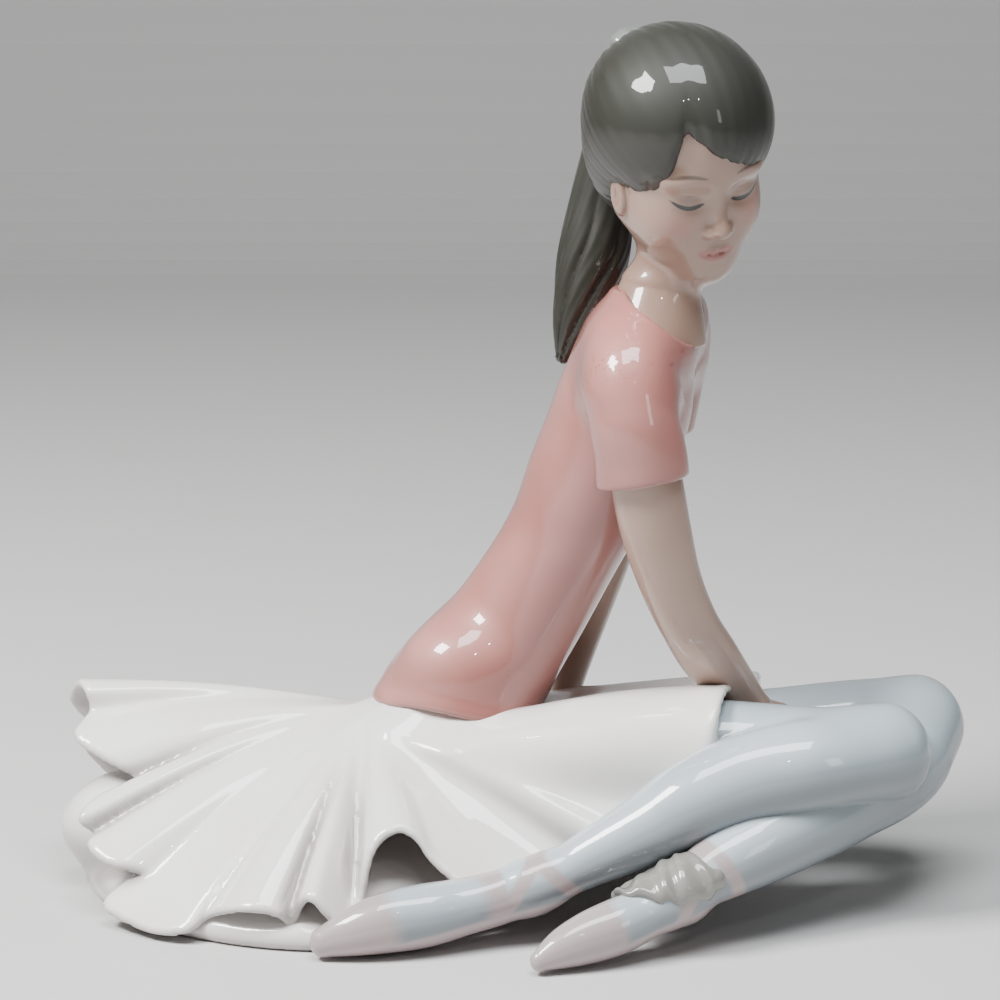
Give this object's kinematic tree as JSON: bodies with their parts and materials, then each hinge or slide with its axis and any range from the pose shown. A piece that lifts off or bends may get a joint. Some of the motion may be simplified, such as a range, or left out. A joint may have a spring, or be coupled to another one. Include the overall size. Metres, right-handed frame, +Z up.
{
  "type": "porcelain figurine",
  "caption": "Glazed porcelain figurine of a seated dancer leaning forward, in a short-sleeved blouse, a wide fluted skirt, stockings and slippers.",
  "frame": {"origin": "centre of the figurine's bounding box, on the surface it stands on", "axes": "+Z up; the knees point to +X, the skirt fans out to -X, and the face looks towards -Y"},
  "size_m": [0.1617, 0.0958, 0.1563],
  "materials": {
    "skin_glaze": "high-gloss clear glaze over a soft greyish beige skin tint, sheen on every rounded form",
    "hair_glaze": "high-gloss clear glaze over dark grey-olive hair colour",
    "tie_glaze": "high-gloss clear glaze over a mid grey ribbon colour",
    "blouse_glaze": "high-gloss clear glaze over an airbrushed dusty pink",
    "white_glaze": "high-gloss clear glaze over warm white porcelain, greyer where it pools in the folds",
    "stocking_glaze": "high-gloss clear glaze over a pale grey-blue",
    "slipper_glaze": "high-gloss clear glaze over a pale mauve-pink",
    "biscuit": "matt unglazed biscuit porcelain on the underside"
  },
  "bodies": {
    "root": {"head_face": "skin_glaze", "hair_cap": "hair_glaze", "hair_tie": "tie_glaze", "ponytail": "hair_glaze", "sleeve_right": "blouse_glaze", "sleeve_left": "blouse_glaze", "hand_right": "skin_glaze", "hand_left": "skin_glaze", "arm_right": "skin_glaze", "arm_left": "skin_glaze", "slipper_right": "slipper_glaze", "slipper_left": "slipper_glaze", "shin_right": "stocking_glaze", "shin_left": "stocking_glaze", "thigh_right": "stocking_glaze", "thigh_left": "stocking_glaze", "torso_blouse": "blouse_glaze", "lap_right": "white_glaze", "lap_left": "white_glaze", "skirt": "white_glaze", "skirt_flap": "white_glaze", "base": "biscuit"}
  },
  "joints": []
}
